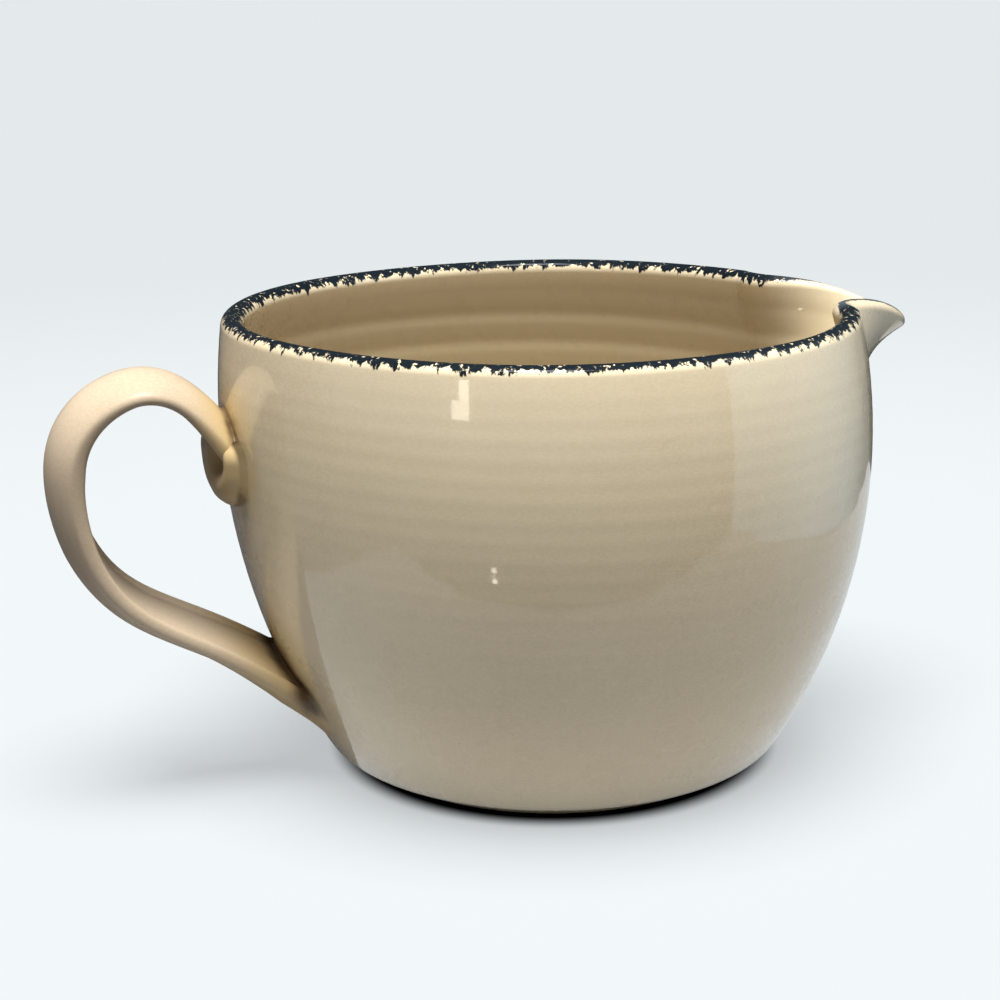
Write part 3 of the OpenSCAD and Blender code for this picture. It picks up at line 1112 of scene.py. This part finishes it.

# %% [markdown]
# Round the handle's joints the glaze is painted amber: partly thicker pooled glaze, partly painted
# light bounced off the strap. In the creases it is painted dark brown: partly pooled glaze, partly
# painted shade. The stored distance from the joints, shaken by noise, says how far each goes, and
# near the foot both are narrower. A few cells of a cell pattern become iron specks.

# %% Pooled glaze with painted bounce light and painted crease shade, and iron specks
WANDER_SCALE = 150
WANDER_MM = 4.0
TOE_NARROW_H = (0.050, 0.075)
TOE_NARROW = 0.60
BOUNCE_GLOW_MM = (3.0, 19.0)
BOUNCE_GLOW_SHARE = 0.65
CREASE_SHADE_MM = (2.2, 5.5)
CREASE_SHADE_SHARE = 0.90
SPECK_SCALE = 260
SPECK_RARE = 0.95
SPECK_SOFT = 0.02
SPECK_FROM_MIDDLE = (0.06, 0.16)
SPECK_SHARE = 0.7


def pooled_glaze_and_painted_shade(tree, where, colour):
    """Pooled glaze round the handle's joints: amber with painted bounce light, and brown with
    painted shade in the creases.
    """
    height = add(tree, "ShaderNodeSeparateXYZ", {"Vector": where}).outputs["Z"]
    wander = maths(tree, "MULTIPLY", noise(tree, where, WANDER_SCALE, 3), WANDER_MM)
    near = maths(tree, "ADD", mark(tree, "from_joint"), wander)
    near = maths(tree, "MULTIPLY", near, spread(tree, height, *TOE_NARROW_H, TOE_NARROW, 1.0))
    # Amber is pooled glaze plus painted bounce light; brown is pooled glaze plus painted crease
    # shade.
    glow = spread(tree, near, *BOUNCE_GLOW_MM, BOUNCE_GLOW_SHARE, 0.0)
    crease = spread(tree, near, *CREASE_SHADE_MM, CREASE_SHADE_SHARE, 0.0)
    return mixed(tree, crease, mixed(tree, glow, colour, AMBER_POOL_AND_BOUNCE), BROWN_POOL_AND_CREASE_SHADE)


def speckle(tree, where, colour):
    """Small iron specks, at the middle of a few cells of the pattern."""
    cells = add(tree, "ShaderNodeTexVoronoi", {"Vector": where, "Scale": SPECK_SCALE})
    rare = spread(tree, cells.outputs["Color"], SPECK_RARE, SPECK_RARE + SPECK_SOFT)
    dot = spread(tree, cells.outputs["Distance"], *SPECK_FROM_MIDDLE, SPECK_SHARE, 0.0)
    return mixed(tree, maths(tree, "MULTIPLY", rare, dot), colour, IRON)


print("the brown crease ends", CREASE_SHADE_MM[1], "mm and the amber", BOUNCE_GLOW_MM[1], "mm from a joint")

# %% [markdown]
# The shine comes last. Roughness changes softly over the pot, and the slip is duller and has
# less clear coat. Two shallow bumps bend what the glaze mirrors: a long ripple from the rib,
# and a fine peel from the firing.

# %% The gloss
ROUGH_SCALE = 90
SLIP_ROUGH = 0.3
SLIP_COAT = 0.35
PEEL_SCALE = 330
PEEL_SHARE = 0.04
RIPPLE_SCALE = 60
BUMP_STRENGTH = 0.30
BUMP_DEPTH = 0.00007


def finish_gloss(tree, shader, where, least, most, dull=None):
    """Roughness, duller where the slip is, and a shallow ripple and peel in the glaze."""
    rough = spread(tree, noise(tree, where, ROUGH_SCALE, 3), 0.35, 0.7, least, most)
    if dull is not None:
        rough = maths(tree, "ADD", rough, maths(tree, "MULTIPLY", dull, SLIP_ROUGH))
        gloss = spread(tree, dull, 0.0, 1.0, 1.0, SLIP_COAT, smooth=False)
        tree.links.new(gloss, shader.inputs["Coat Weight"])
    tree.links.new(rough, shader.inputs["Roughness"])
    peel = noise(tree, where, PEEL_SCALE, 3, 0.5)
    ripple = noise(tree, where, RIPPLE_SCALE, 1, 0.5)
    height = maths(tree, "ADD", maths(tree, "MULTIPLY", peel, PEEL_SHARE), ripple)
    bump = add(tree, "ShaderNodeBump", {
        "Height": height, "Strength": BUMP_STRENGTH, "Distance": BUMP_DEPTH,
    })
    for socket in ("Normal", "Coat Normal"):
        tree.links.new(bump.outputs[0], shader.inputs[socket])


print("bumps are", round(BUMP_DEPTH / MM, 3), "mm deep")

# %% [markdown]
# The blue slip sits round the lip. A sponge leaves dabs with ragged edges and holes, so the
# distance from the crest is disturbed by noise before it is compared with the band's reach.
# The slip is dull and nearly black, and the glaze between the dabs stays pale and bright.

# %% The sponged slip over the glaze
BLUE_SLIP = linear(11, 19, 25)
GREY_SLIP = linear(62, 68, 74)
SLANT = math.radians(25)
DAB_STRETCH = 0.3
DAB_SCALE = 420
RAGGED_MM = (9.0, 2.0)
OUTSIDE_MM = (3.5, 1.5)
INSIDE_MM = (3.2, 0.9)
EDGE_SOFT_MM = 0.35
PORE_SCALE = 620
PORE_LEVEL = (0.615, 0.75)
INSIDE_SHADE_FROM_MM = (3.0, 12.0)


def slip_mask(tree, where, share):
    """1 where the slip is: broad dabs round the bowl, and a thin line along the spout."""
    def fades(on_bowl_and_spout):
        return spread(tree, share, 0.0, 1.0, *on_bowl_and_spout, smooth=False)

    slanted = add(tree, "ShaderNodeMapping", {
        "Vector": where, "Rotation": (0.0, SLANT, 0.0), "Scale": (1.0, 1.0, DAB_STRETCH),
    })
    soft = EDGE_SOFT_MM
    edge = maths(tree, "SUBTRACT", noise(tree, slanted.outputs[0], DAB_SCALE, 3, 0.7), 0.5)
    wander = maths(tree, "MULTIPLY", edge, fades(RAGGED_MM))
    moved = maths(tree, "ADD", mark(tree, "from_lip"), wander)
    above = spread(tree, maths(tree, "ADD", moved, fades(OUTSIDE_MM)), -soft, soft)
    below = spread(tree, maths(tree, "SUBTRACT", moved, fades(INSIDE_MM)), -soft, soft, 1.0, 0.0)
    pore = maths(tree, "SUBTRACT", noise(tree, where, PORE_SCALE, 3, 0.6), fades(PORE_LEVEL))
    pores = spread(tree, pore, 0.0, 0.06, 1.0, 0.0)
    return maths(tree, "MULTIPLY", maths(tree, "MULTIPLY", above, below), pores)


def bowl_finish(name):
    material, tree, shader, colour, where = cream_glaze(name, 1.0, 0.05, BOWL_CREAMS)
    # Below the lip the inside is painted a darker cream: painted shade inside the bowl.
    inside = spread(tree, mark(tree, "from_lip"), *INSIDE_SHADE_FROM_MM)
    colour = pooled_glaze_and_painted_shade(tree, where, colour)
    colour = mixed(tree, inside, colour, INSIDE_SHADE_CREAM)
    colour = speckle(tree, where, colour)
    share = mark(tree, "on_spout")
    mask = slip_mask(tree, where, share)
    colour = mixed(tree, mask, colour, mixed(tree, share, BLUE_SLIP, GREY_SLIP))
    tree.links.new(colour, shader.inputs["Base Color"])
    finish_gloss(tree, shader, where, 0.24, 0.40, mask)
    return material


bowl_glaze = bowl_finish("cream_glaze_bowl")
band_slip = bowl_finish("blue_slip_sponged")
spout_glaze = bowl_finish("cream_glaze_spout")
line_slip = bowl_finish("grey_slip_brushed")
print("bands and clay below them share one finish, so no seam shows between them")

# %% [markdown]
# The handle took a thinner coat than the bowl, and its shine is broader. Its cream is painted a
# little darker and pinker, as painted shade for how the light falls on the handle. So it gets the
# same glaze with less and rougher coat, darker creams, and no slip.

# %% The handle's glaze, and every piece finished
def handle_finish(name):
    material, tree, shader, colour, where = cream_glaze(name, 0.4, 0.2, HANDLE_SHADED_CREAMS)
    colour = pooled_glaze_and_painted_shade(tree, where, colour)
    colour = speckle(tree, where, colour)
    tree.links.new(colour, shader.inputs["Base Color"])
    finish_gloss(tree, shader, where, 0.34, 0.50)
    return material


handle_glaze = handle_finish("cream_glaze_handle")
for piece, material in (
    (thrown_bowl, bowl_glaze),
    (pulled_spout, spout_glaze),
    (sponged_band, band_slip),
    (brushed_band, line_slip),
    (pulled_strap, handle_glaze),
    (thumbed_coil, handle_glaze),
):
    piece.data.materials.append(material)
    print(piece.name, "is finished in", material.name)

# %% [markdown]
# ## Telling the frame what each piece is
#
# Each piece rides on the one body of this pot and stands for the solid that it dresses, which is
# hidden.

# %% Pieces and the frame
for piece, node, finish in (
    (thrown_bowl, "bowl_body", "cream_glaze"),
    (pulled_spout, "pouring_spout", "cream_glaze"),
    (sponged_band, "rim_band", "blue_slip"),
    (brushed_band, "spout_band", "grey_slip"),
    (pulled_strap, "strap_handle", "handle_glaze"),
    (thumbed_coil, "upper_joint_coil", "handle_glaze"),
):
    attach(piece, "root")
    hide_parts(node)

# %% [markdown]
# ## Table, walls and light
#
# The pot stands on a pale table in an open white light box, under one high soft lamp. Glaze is
# a mirror with faults, so most of what the eye takes for its colour is what it mirrors. The box
# is therefore made of real panels: some are seen by the camera, some only by the glaze, and
# one only throws light back. None of them casts a shadow.

# %% Helpers for panels
box_way = Vector((-camera_back.x, -camera_back.y, 0)).normalized()


def white(name, albedo, glow=0.0, tint=(1, 1, 1)):
    """A dull white for panels: how much light it throws back, and how much it gives out."""
    material = bpy.data.materials.new(name)
    material.use_nodes = True
    shader = material.node_tree.nodes["Principled BSDF"]
    shader.inputs["Base Color"].default_value = (*[albedo * c for c in tint], 1)
    shader.inputs["Roughness"].default_value = 0.9
    shader.inputs["Specular IOR Level"].default_value = 0.0
    shader.inputs["Emission Color"].default_value = (*tint, 1)
    shader.inputs["Emission Strength"].default_value = glow
    return material


def paint_shadow_under_pot(material, glow, near, far):
    """Painted shadow: a floor's glow and colour fall to none under the foot, and its glow dims a
    little far away.
    """
    tree = material.node_tree
    where = add(tree, "ShaderNodeTexCoord").outputs["Object"]
    level = add(tree, "ShaderNodeMapping", {"Vector": where, "Scale": (1.0, 1.0, 0.0)})
    reach = add(tree, "ShaderNodeVectorMath", {0: level.outputs[0]}, operation="LENGTH")
    shader = tree.nodes["Principled BSDF"]
    # Painted shadow under the foot, and painted dimming far away.
    glow_here = spread(tree, reach.outputs["Value"], near, far, 0.0, glow)
    far_painted_dimming = spread(tree, reach.outputs["Value"], 0.25, 1.0, 1.0, 0.78)
    glow_here = maths(tree, "MULTIPLY", glow_here, far_painted_dimming)
    tree.links.new(glow_here, shader.inputs["Emission Strength"])
    base = shader.inputs["Base Color"].default_value[:]
    open_floor = spread(tree, reach.outputs["Value"], near, far)
    tree.links.new(mixed(tree, open_floor, (0, 0, 0, 1), base), shader.inputs["Base Color"])


def fade_to_back(material, glow, least, front, back):
    """A wall's light falls from glow to least towards the back of the box."""
    tree = material.node_tree
    where = add(tree, "ShaderNodeTexCoord").outputs["Object"]
    along = add(tree, "ShaderNodeVectorMath", {0: where, 1: box_way}, operation="DOT_PRODUCT")
    glow_here = spread(tree, along.outputs["Value"], front, back, glow, least)
    tree.links.new(glow_here, tree.nodes["Principled BSDF"].inputs["Emission Strength"])


def in_box(right, back, up):
    """A point of the light box, from its distances right, back and up from the pot's foot."""
    return level_right * right + box_way * back + Vector((0, 0, up))


def panel(name, corners, material, camera_sees=False, glaze_sees=True, lights=True):
    mesh = bpy.data.meshes.new(name)
    mesh.from_pydata([in_box(*corner) for corner in corners], [], [tuple(range(len(corners)))])
    made = bpy.data.objects.new(name, mesh)
    bpy.context.scene.collection.objects.link(made)
    made.data.materials.append(material)
    made.visible_camera = camera_sees
    made.visible_glossy = glaze_sees
    made.visible_diffuse = lights
    made.visible_shadow = False
    return made


def level_panel(name, left, right, front, back, up, material, **seen):
    return panel(name, [
        (left, front, up), (right, front, up), (right, back, up), (left, back, up),
    ], material, **seen)


print("the box points", [round(c, 2) for c in box_way], "away from the camera")

# %% [markdown]
# The camera sees one wide pale floor and, beyond it, a backdrop of the same tone, so that no edge
# shows from any side. The light that the table throws up comes from a smaller floor that nothing
# sees. Each floor carries a painted shadow under the pot, where the foot ring shuts the light out,
# and a painted dimming far away.

# %% Floors and backdrop
BOX_FRONT = 0.185
BOX_LEFT = 0.20
BOX_RIGHT = 0.26
BOX_BACK = 0.30
BOX_TOP = 0.50
BOUNCE_FRONT = 0.135
FLOOR_SIZE = 40.0
LOWER = 0.0002
BACKDROP_FAR = 11.0
BACKDROP_GLOW = 0.83
COOL = (0.93, 0.98, 1.0)

floor_seen = white("floor_seen", 0.13, 0.0, COOL)
paint_shadow_under_pot(floor_seen, 0.53, 0.060, 0.068)
level_panel(
    "floor", -FLOOR_SIZE, FLOOR_SIZE, -FLOOR_SIZE, FLOOR_SIZE, 0.0, floor_seen,
    camera_sees=True, glaze_sees=False, lights=False,
)
backdrop_white = white("backdrop_white", 0.0, BACKDROP_GLOW, COOL)
backdrop_corners = [
    (BACKDROP_FAR * x, BACKDROP_FAR * y) for x, y in ((-1, -1), (1, -1), (1, 1), (-1, 1))
]
for k, start in enumerate(backdrop_corners):
    end = backdrop_corners[k - 1]
    panel(
        f"backdrop_{k}",
        [(*start, 0), (*end, 0), (*end, BACKDROP_FAR), (*start, BACKDROP_FAR)],
        backdrop_white, camera_sees=True, glaze_sees=False, lights=False,
    )
floor_white = white("floor_white", 0.33)
level_panel(
    "box_floor", -BOX_LEFT, BOX_RIGHT, -BOUNCE_FRONT, BOX_BACK, -2 * LOWER, floor_white,
    glaze_sees=False,
)
print("floor to", FLOOR_SIZE, "m and backdrop at", BACKDROP_FAR, "m")

# %% [markdown]
# What the glaze mirrors is the inside of the box. Its open front is the darker soft square on
# the belly, and its floor is the light band under that. The left wall is dim and short, the
# right one bright, bluish in front, and fading to the back. All of them are unlit panels that
# glow, so that their tone in the glaze can be set one by one.

# %% Panels that only the glaze mirrors
BLUISH = (0.68, 0.88, 1.0)
FLOOR_SPLIT = -0.03
BACK_FLOOR_LEFT = -0.05
LEFT_WALL = (-0.14, -0.034)
RIGHT_FADE = (-0.05, 0.22)

floor_mirrored = white("floor_mirrored", 0.0, 0.0, COOL)
paint_shadow_under_pot(floor_mirrored, 0.74, 0.058, 0.070)
left_white = white("left_white", 0.0, 0.22, COOL)
right_white = white("right_white", 0.0, 0.0, BLUISH)
fade_to_back(right_white, 1.3, 0.2, *RIGHT_FADE)
back_white = white("back_white", 0.0, 0.06, COOL)
for name, left, front, back in (
    ("mirrored_floor", -BOX_LEFT, -BOX_FRONT, FLOOR_SPLIT),
    ("mirrored_back", BACK_FLOOR_LEFT, FLOOR_SPLIT, BOX_BACK),
):
    level_panel(name, left, BOX_RIGHT, front, back, -3 * LOWER, floor_mirrored, lights=False)
for name, side, front, back, material in (
    ("box_left", -BOX_LEFT, *LEFT_WALL, left_white),
    ("box_right", BOX_RIGHT, -BOX_FRONT, BOX_BACK, right_white),
):
    panel(name, [
        (side, front, 0), (side, back, 0),
        (side, back, BOX_TOP), (side, front, BOX_TOP),
    ], material, lights=False)
panel("box_back", [
    (-BOX_LEFT, BOX_BACK, 0), (BOX_RIGHT, BOX_BACK, 0),
    (BOX_RIGHT, BOX_BACK, BOX_TOP), (-BOX_LEFT, BOX_BACK, BOX_TOP),
], back_white, lights=False)
print("walls up to", BOX_TOP, "m")

# %% [markdown]
# The lamp is high and nearly overhead, a little to the front, so it comes in as a sun with soft
# edges, which the glaze doesn't mirror. Small panes stand in for what it does mirror: the
# lamp's bright face, a warm window with its sill that leaves a pale streak on the shoulder,
# and a glint lower down.

# %% Lamp and the bright panes that the glaze mirrors
LAMP_ELEVATION = math.radians(80)
LAMP_SOFTNESS = math.radians(40)
LAMP_STRENGTH = 10.0
PANE_DISTANCE = 1.5
WARM = (1.0, 0.94, 0.76)
ROOM_GREY = (0.12, 0.12, 0.125, 1)

lamp_data = bpy.data.lights.new("lamp", "SUN")
lamp_data.energy = LAMP_STRENGTH
lamp_data.angle = LAMP_SOFTNESS
lamp = bpy.data.objects.new("lamp", lamp_data)
lamp_way = in_box(0, -math.cos(LAMP_ELEVATION), math.sin(LAMP_ELEVATION))
lamp.rotation_euler = lamp_way.to_track_quat("Z", "Y").to_euler()
lamp.visible_glossy = False
bpy.context.scene.collection.objects.link(lamp)


def pane(name, left, elevation, wide, tall, glow, tint):
    """A bright pane, by its angles to the left of the camera and above the table."""
    left, elevation = math.radians(left), math.radians(elevation)
    wide, tall = math.radians(wide), math.radians(tall)
    corners = []
    for across, up in ((-1, -1), (1, -1), (1, 1), (-1, 1)):
        side = left + across * wide / 2
        rise = elevation + up * tall / 2
        corners.append((
            -PANE_DISTANCE * math.sin(side) * math.cos(rise),
            -PANE_DISTANCE * math.cos(side) * math.cos(rise),
            PANE_DISTANCE * math.sin(rise) + AIM_H * MM,
        ))
    return panel(name, corners, white(name, 0.0, glow, tint), lights=False)


for name, left, elevation, wide, tall, glow, tint in (
    ("lamp_face", 0, 74, 60, 16, 18.0, (1.0, 1.0, 1.0)),
    ("window", 26.3, 7.0, 3.2, 6.5, 8.0, WARM),
    ("window_sill", 27.6, 2.8, 5.5, 3.0, 7.0, WARM),
    ("glint", 20, -28, 1.6, 2.2, 12.0, WARM),
):
    pane(name, left, elevation, wide, tall, glow, tint)

world = bpy.data.worlds.new("room")
bpy.context.scene.world = world
world.use_nodes = True
world.node_tree.nodes["Background"].inputs[0].default_value = ROOM_GREY
bpy.context.scene.view_settings.view_transform = "Standard"
print("light box, lamp and floor are up")
